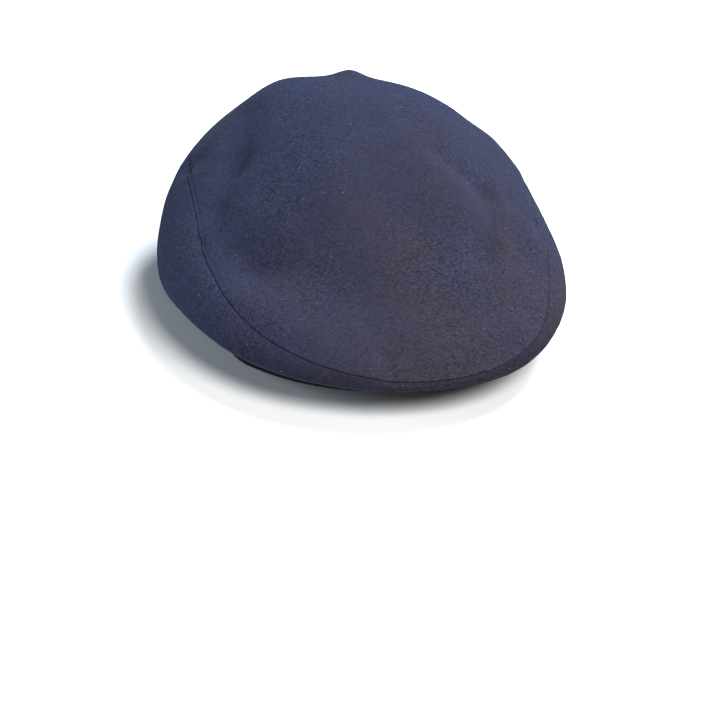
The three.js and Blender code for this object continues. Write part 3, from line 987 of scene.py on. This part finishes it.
@dataclass
class Crown:
    """The crown: a top panel and two side panels that turn under."""

    form: CapForm
    stations: int = 384
    top_rings: int = 100
    rim_rings: int = 16
    rim_share: float = 0.08
    rim_power: float = 1.4
    side_rings: int = 30
    side_power: float = 1.35
    under_rings: int = 20
    seam_sink: float = 0.35 * MM
    seam_reach: float = 0.45 * MM
    allowance_rise: float = 0.03 * MM
    allowance_width: float = 6 * MM
    pucker: float = 0.12 * MM
    pucker_length: float = 7 * MM
    pucker_start: float = 1.5 * MM
    pucker_reach: float = 10 * MM
    wrinkle: float = 0.5 * MM
    wrinkle_start: float = 6 * MM
    wrinkles: Layers = ((34 * MM, 1, 11), (15 * MM, 0.45, 12), (6 * MM, 0.16, 13))
    wrinkle_end: tuple[float, float] = (2.2, 2.9)
    closed_gap: float = 0.03 * MM
    seam_stitch_inset: float = 0.3 * MM
    seam_stitch_spacing: float = 2.6 * MM
    seam_stitch_length: float = 1.9 * MM
    topstitch_inset: float = 2.6 * MM
    topstitch_sink: float = 0.4 * MM
    topstitch_reach: float = 0.6 * MM
    topstitch_angles: tuple[float, float] = (-114.0, -60.0)
    topstitch_fade: float = 6.0
    stitch_lift: float = -0.02 * MM
    # Painted highlight: a pale line along the lower edge in front, at this level and reach, fading out
    # between these angles.
    painted_highlight_level: float = 2.34
    painted_highlight_reach: float = 0.1
    painted_highlight_angles: tuple[float, float] = (40.0, 80.0)
    angles: Array = field(init=False)
    levels: Array = field(init=False)

    def __post_init__(self) -> None:
        """Works out the stations and levels."""
        self.angles = np.arange(self.stations + 1) * FULL_TURN / self.stations
        inner = np.linspace(0, 1 - self.rim_share, self.top_rings + 1)[1:]
        rim = 1 - self.rim_share * (1 - np.linspace(0, 1, self.rim_rings + 1)[1:]) ** self.rim_power
        side = 1 + np.linspace(0, 1, self.side_rings + 1)[1:] ** self.side_power
        under = 2 + np.linspace(0, 1, self.under_rings + 1)[1:]
        self.levels = np.concatenate([inner, rim, side, under])

    @property
    def seam_row(self) -> int:
        """The row that lies on the seam."""
        return self.top_rings + self.rim_rings - 1

    def relief(self, points: Array) -> Array:
        """Height of the seam's groove, allowance and puckers and of the soft wrinkles.

        Args:
            points: The folded crown's outer face.

        Returns:
            A height along the normal for each point.
        """
        along = arc_lengths(points, 0)
        seam = along[self.seam_row]
        distance = np.abs(along - seam)
        on_top = (along <= seam).astype(float)
        groove = -self.seam_sink * bell(distance, self.seam_reach)
        rise = smoothstep(distance, 0, 2 * self.seam_reach)
        rise *= 1 - smoothstep(distance, 0.7 * self.allowance_width, 1.25 * self.allowance_width)
        allowance = self.allowance_rise * rise * (0.4 + 0.6 * on_top)
        first, last = self.topstitch_angles
        stitched = smoothstep(from_front(self.angles), first, first + self.topstitch_fade)
        stitched *= 1 - smoothstep(from_front(self.angles), last - self.topstitch_fade, last)
        pressed = bell(distance - self.topstitch_inset, self.topstitch_reach) * on_top * stitched
        allowance -= self.topstitch_sink * pressed
        ripple = layered_noise(points, ((self.pucker_length, 1, 3), (self.pucker_length / 2, 0.5, 5)))
        pucker = self.pucker * ripple * bell(distance, self.pucker_reach)
        pucker *= np.minimum(distance / self.pucker_start, 1)
        fade = 1 - smoothstep(self.levels, *self.wrinkle_end)[:, None]
        ends = np.minimum(distance / self.wrinkle_start, 1)
        soft = self.wrinkle * layered_noise(points, self.wrinkles) * ends * fade
        return groove + allowance + pucker + soft

    def faces(self) -> CrownFaces:
        """Faces and painted highlight of the whole crown."""
        smooth = self.form.smooth_crown(self.levels, self.angles, 0)
        move = self.form.fold_move(smooth, self.levels, self.angles)
        folded = smooth + move
        shift = ring(surface_normals(folded[:, :-1])) * self.relief(folded)[..., None]
        inner = self.form.smooth_crown(self.levels, self.angles, self.form.cloth) + move + shift
        # Painted highlight along the lower edge in front, where the cloth turns away from view.
        in_front = 1 - smoothstep(np.abs(from_front(self.angles)), *self.painted_highlight_angles)[None]
        painted_highlight = bell(self.levels[:, None] - self.painted_highlight_level, self.painted_highlight_reach) * in_front
        return CrownFaces(folded + shift, inner, painted_highlight)

    def cut_cloth(self, points: Array) -> Array:
        """Places on the flat cloth that the top panel was cut from, with its threads straight.

        Args:
            points: Points of the top panel.

        Returns:
            Distances across the cap and from front to back for each point, in metres.
        """
        share = np.linspace(0, 1, 60)
        ways = []
        for axis, angles in ((0, (-90.0, 90.0)), (1, (0.0, 180.0))):
            lines = [self.form.smooth_crown(share, np.array([angle]), 0)[:, 0] for angle in angles]
            lengths = [arc_lengths(line[:, None], 0)[:, 0] for line in lines]
            place = np.concatenate([line[:, axis] for line in lines])
            length = np.concatenate([-lengths[0], lengths[1]])
            order = np.argsort(place)
            ways.append(np.interp(points[..., axis], place[order], length[order]))
        return np.stack(ways, axis=-1)

    def trimmed(self, grid: Array, gap: float, row: int, ends: bool) -> Array:
        """Draws a grid's edges back from its seams.

        Args:
            grid: Points by row and column.
            gap: Width of the groove of the seam at one row.
            row: That row, 0 for the first or -1 for the last.
            ends: Whether the first and last column are at seams too.

        Returns:
            The trimmed grid.
        """
        grid = grid.copy()
        beside = {0: 1, -1: -2}
        grid[row] = drawn_back(grid[row], grid[beside[row]], gap / 2)
        if ends:
            for column, inner in beside.items():
                grid[:, column] = drawn_back(grid[:, column], grid[:, inner], self.closed_gap / 2)
        return grid

    def top_panel(self, crown: CrownFaces, cloth: Material) -> None:
        """Builds the top panel from the crown's faces, in its cloth."""
        rows = slice(0, self.seam_row + 1)
        builder = MeshBuilder()
        rings = []
        uv = self.cut_cloth(crown.outer[rows])
        for face, gap in ((crown.outer, self.form.seam_gap), (crown.inner, self.closed_gap)):
            grid = self.trimmed(face[rows, :-1], gap, -1, False)
            middle, middle_uv = (part[:1].mean(axis=1, keepdims=True) for part in (grid, uv))
            apex = builder.add_grid(middle, middle_uv, np.zeros((1, 1)))
            numbers = ring(builder.add_grid(grid, uv[:, :-1], crown.painted_highlight[rows, :-1]))
            rings.append(np.concatenate([np.full((1, numbers.shape[1]), apex[0, 0]), numbers]))
        builder.add_strips(rings[0])
        builder.add_strips(rings[1], flip=True)
        builder.add_strips(np.stack([rings[0][-1], rings[1][-1]]))
        dress(builder.build("top_panel_cloth", cloth), "cloth", "top_panel")

    def side_panel(self, side: Side, crown: CrownFaces, cloth: Material) -> None:
        """Builds one side panel, from the front seam to the back seam.

        Args:
            side: Which side.
            crown: The crown's faces.
            cloth: The panel's finish.
        """
        half = self.stations // 2
        columns = slice(0, half + 1) if side is Side.LEFT else slice(half, 2 * half + 1)
        part = (slice(self.seam_row, None), columns)
        builder = MeshBuilder()
        down = arc_lengths(crown.outer[part], 0)
        across = arc_lengths(crown.outer[part], 1)[self.side_rings][None] + 0 * down
        uv = np.stack([across, -down], axis=-1)
        grids = []
        for face, gap in ((crown.outer, self.form.seam_gap), (crown.inner, self.closed_gap)):
            grids.append(builder.add_grid(self.trimmed(face[part], gap, 0, True), uv, crown.painted_highlight[part]))
        top, bottom = grids
        builder.add_strips(top)
        builder.add_strips(bottom, flip=True)
        builder.add_strips(np.stack([bottom[0], top[0]]))
        builder.add_strips(np.stack([top[-1], bottom[-1]]))
        builder.add_strips(np.stack([top[:, 0], bottom[:, 0]]))
        builder.add_strips(np.stack([top[:, -1], bottom[:, -1]]), flip=True)
        name = f"side_panel_{side.value}"
        dress(builder.build(f"{name}_cloth", cloth), "cloth", name)

    def stitch_line(self, outer: Array, inset: float) -> tuple[Array, Array]:
        """Finds a line on the top panel at a distance from its seam.

        Args:
            outer: The crown's outer face.
            inset: The distance.

        Returns:
            Its points and the cloth's normals there, one for each station.
        """
        panel = outer[: self.seam_row + 1, :-1]
        along = arc_lengths(panel, 0)
        inward = along[-1] - inset
        normals = surface_normals(panel)
        points, upward = np.zeros((2, panel.shape[1], 3))
        for j, axis in itertools.product(range(panel.shape[1]), range(3)):
            points[j, axis] = np.interp(inward[j], along[:, j], panel[:, j, axis])
            upward[j, axis] = np.interp(inward[j], along[:, j], normals[:, j, axis])
        return points + self.stitch_lift * upward, upward

    def stitch_rows(self, outer: Array, stitches: Group) -> None:
        """Builds the stitches in the seam and the short topstitched row at the wearer's right.

        Args:
            outer: The crown's outer face.
            stitches: The stitches' group.
        """
        points, upward = self.stitch_line(outer, self.seam_stitch_inset)
        sizes = {"spacing": self.seam_stitch_spacing, "length": self.seam_stitch_length}
        StitchRow("seam_stitches", points, upward, **sizes).build(stitches)
        points, upward = self.stitch_line(outer, self.topstitch_inset)
        step = FULL_TURN / self.stations
        first, last = (round((angle % FULL_TURN) / step) for angle in self.topstitch_angles)
        part = slice(first, last + 1)
        StitchRow("right_topstitches", points[part], upward[part], closed=False).build(stitches)

    def build(self, top_cloth: Material, side_cloth: Material, stitches: Group, lint: Group) -> None:
        """Builds the three panels with their stitches and lint.

        Args:
            top_cloth: Finish of the top panel.
            side_cloth: The same cloth on the side panels, with painted shade that darkens it low down in
                front.
            stitches: The stitches' group.
            lint: The lint's group.
        """
        crown = self.faces()
        self.top_panel(crown, top_cloth)
        for side in Side:
            self.side_panel(side, crown, side_cloth)
        self.stitch_rows(crown.outer, stitches)
        Lint().build(crown.outer[: self.seam_row + self.side_rings + 1], lint)


def wrap(form: CapForm, rows: list, angles: Array, pattern_radius: float) -> tuple[MeshBuilder, Array]:
    """Starts a mesh of cloth wrapped round a section.

    Args:
        form: The cap's form.
        rows: Radii and heights of each row of the section.
        angles: Degrees from the front towards +X.
        pattern_radius: Radius at which the cloth's threads are laid out.

    Returns:
        The mesh with its points, and the number of each point.
    """
    grid = np.stack([form.polar(radius, angles, height) for radius, height in rows])
    down = arc_lengths(grid, 0)
    across = np.broadcast_to(np.radians(angles) * pattern_radius, down.shape)
    builder = MeshBuilder()
    return builder, builder.add_grid(grid, np.stack([across, -down], axis=-1), np.zeros(down.shape))


@dataclass
class Peak:
    """The stiff crescent in front, wrapped in cloth."""

    form: CapForm
    stations: int = 160
    across: int = 14
    round_steps: int = 6

    def build(self, cloth: Material) -> None:
        """Builds the peak in its cloth."""
        form = self.form
        angles = np.linspace(-form.peak_half_angle, form.peak_half_angle, self.stations + 1)
        root, edge = form.peak_root(angles), form.peak_radius(angles)
        top = form.peak_top(angles)
        half = form.peak_thickness / 2
        share = np.linspace(0, 1, self.across + 1)
        rows = [(lerp(root, edge - half, s), top) for s in share]
        for turn in np.linspace(0, math.pi, self.round_steps + 1)[1:-1]:
            rows.append((edge - half + half * math.sin(turn), top - half + half * math.cos(turn)))
        rows += [(lerp(root, edge - half, s), top - form.peak_thickness) for s in share[::-1]]
        builder, numbers = wrap(form, rows, angles, edge.mean())
        builder.add_strips(np.concatenate([numbers, numbers[:1]]))
        count = len(numbers) // 2
        for column, flip in ((0, False), (-1, True)):
            builder.add_strips(np.stack([numbers[:count, column], numbers[::-1, column][:count]]), flip=flip)
        dress(builder.build("peak_cloth", cloth), "peak_cloth", "peak")


@dataclass
class HeadBand:
    """The upright oval band on which the cap stands."""

    form: CapForm
    stations: int = 320
    up: int = 14
    round_steps: int = 4

    def build(self, cloth: Material) -> None:
        """Builds the band in its cloth."""
        form = self.form
        angles = np.arange(self.stations) * FULL_TURN / self.stations
        inside, outside = form.head_radius(angles, 0), form.head_radius(angles, form.band_wall)
        half = form.band_wall / 2
        rim = form.band_rim(angles)
        top = form.band_height - half
        heights = [lerp(rim + half / 2, top, share) for share in np.linspace(0, 1, self.up + 1)]
        rows = [(outside, height) for height in heights[::-1]]
        rows += [(outside - half / 2, rim), (inside + half / 2, rim)]
        rows += [(inside, height) for height in heights]
        for turn in np.linspace(0, math.pi, self.round_steps + 1)[1:-1]:
            rows.append(((inside + outside) / 2 - half * math.cos(turn), top + half * math.sin(turn)))
        builder, numbers = wrap(form, rows, angles, inside.mean())
        numbers = ring(numbers)
        builder.add_strips(np.concatenate([numbers, numbers[:1]]))
        dress(builder.build("head_band_cloth", cloth), "band", "head_band")


@dataclass(frozen=True)
class Lamp:
    """One soft round light, with its width in metres and its power in watts."""

    name: str
    place: tuple[float, float, float]
    size: float
    power: float
    color: Color

    def build(self, aim: Vector) -> None:
        """Makes the light, which looks at a point."""
        data = bpy.data.lights.new(self.name, "AREA")
        data.shape = "DISK"
        data.size = self.size
        data.energy = self.power
        data.color = self.color
        turn = (aim - Vector(self.place)).to_track_quat("-Z", "Y")
        linked(self.name, data).matrix_world = Matrix.Translation(self.place) @ turn.to_matrix().to_4x4()


LAMPS = (
    Lamp("front_light", (0.45, -0.74, 1.0), 0.8, 20.5, (1.0, 0.99, 0.96)),
    Lamp("back_light", (0.6, 0.6, 1.05), 0.7, 33.0, (0.86, 0.92, 1.0)),
    Lamp("side_light", (-1.2, -0.1, 0.28), 0.9, 12.0, (0.8, 0.9, 1.0)),
)


@dataclass
class Studio:
    """A pale floor, soft lights and the camera."""

    azimuth: float = -13.62
    elevation: float = 29.85
    roll: float = 4.77
    distance: float = 732.4 * MM
    lens: float = 64.51
    sensor: float = 36.0
    aim: tuple[float, float, float] = (0.0, 0.0, 50 * MM)
    aim_right: float = -2.64 * MM
    aim_up: float = -79.31 * MM
    floor_reach: float = 8.0
    floor_color: Color = (0.86, 0.86, 0.86)
    world_color: Color = (0.78, 0.88, 1.0)
    world_strength: float = 0.08

    def axes(self) -> tuple[Vector, Vector, Vector]:
        """The camera's right, up and backward directions."""
        turn, rise, roll = (math.radians(x) for x in (self.azimuth, self.elevation, self.roll))
        back = Vector((math.sin(turn) * math.cos(rise), -math.cos(turn) * math.cos(rise), math.sin(rise)))
        level = Vector((math.cos(turn), math.sin(turn), 0))
        above = back.cross(level)
        right = math.cos(roll) * level + math.sin(roll) * above
        up = -math.sin(roll) * level + math.cos(roll) * above
        return right, up, back

    def camera(self) -> None:
        """Makes the camera."""
        right, up, back = self.axes()
        data = bpy.data.cameras.new("camera")
        data.lens = self.lens
        data.sensor_width = self.sensor
        camera = linked("camera", data)
        place = Vector(self.aim) + right * self.aim_right + up * self.aim_up + back * self.distance
        turned = Matrix((right, up, back)).transposed().to_4x4()
        camera.matrix_world = Matrix.Translation(place) @ turned
        bpy.context.scene.camera = camera

    def floor(self) -> None:
        """Makes the pale floor."""
        corners = np.array([(-1, -1, 0), (1, -1, 0), (1, 1, 0), (-1, 1, 0)]) * self.floor_reach
        floor = mesh_object("floor", corners, [], [(0, 1, 2, 3)])
        material = bpy.data.materials.new("pale_floor")
        material.use_nodes = True
        surface = material.node_tree.nodes["Principled BSDF"]
        surface.inputs["Base Color"].default_value = (*self.floor_color, 1)
        surface.inputs["Roughness"].default_value = 0.8
        floor.data.materials.append(material)

    def world(self) -> None:
        """Makes the even light from all round."""
        world = bpy.data.worlds.new("studio")
        world.use_nodes = True
        background = world.node_tree.nodes["Background"]
        background.inputs[0].default_value = (*self.world_color, 1)
        background.inputs[1].default_value = self.world_strength
        bpy.context.scene.world = world

    def build(self) -> None:
        """Builds the studio."""
        self.floor()
        self.world()
        for lamp in LAMPS:
            lamp.build(Vector(self.aim))
        self.camera()
        bpy.context.scene.view_settings.view_transform = "Standard"
        bpy.context.scene.view_settings.look = "None"


def main() -> None:
    """Builds the cap and the studio around it."""
    logging.basicConfig(level=logging.INFO, format="%(name)s: %(message)s")
    weave, flecks = weave_group(), fleck_group()
    top_cloth = ClothFinish("navy_slub_cloth", (0.0244, 0.0292, 0.058), (0.0325, 0.0277, 0.0405))
    # The side panels' cloth, with painted shade low in front and more of the painted plum cast.
    side_cloth = replace(top_cloth, name="navy_slub_cloth_painted_low_shade", low_shade=0.35, plum_bias=0.05)
    peak_cloth = ClothFinish("peak_cloth", (0.009, 0.009, 0.014), (0.011, 0.009, 0.012), fleck_share=0.01)
    band_cloth = ClothFinish("band_cloth", (0.007, 0.007, 0.01), (0.008, 0.007, 0.009), fleck_share=0.0)
    thread = ThreadFinish("navy_thread", (0.008, 0.009, 0.017)).material()
    lint = ThreadFinish("pale_lint", (0.17, 0.18, 0.23)).material()
    stitches, fibres = stitch_group(thread), lint_group(lint)
    Crown(FORM).build(top_cloth.material(weave, flecks), side_cloth.material(weave, flecks), stitches, fibres)
    Peak(FORM).build(peak_cloth.material(weave, flecks))
    HeadBand(FORM).build(band_cloth.material(weave, flecks))
    Studio().build()


if __name__ == "__main__":
    main()
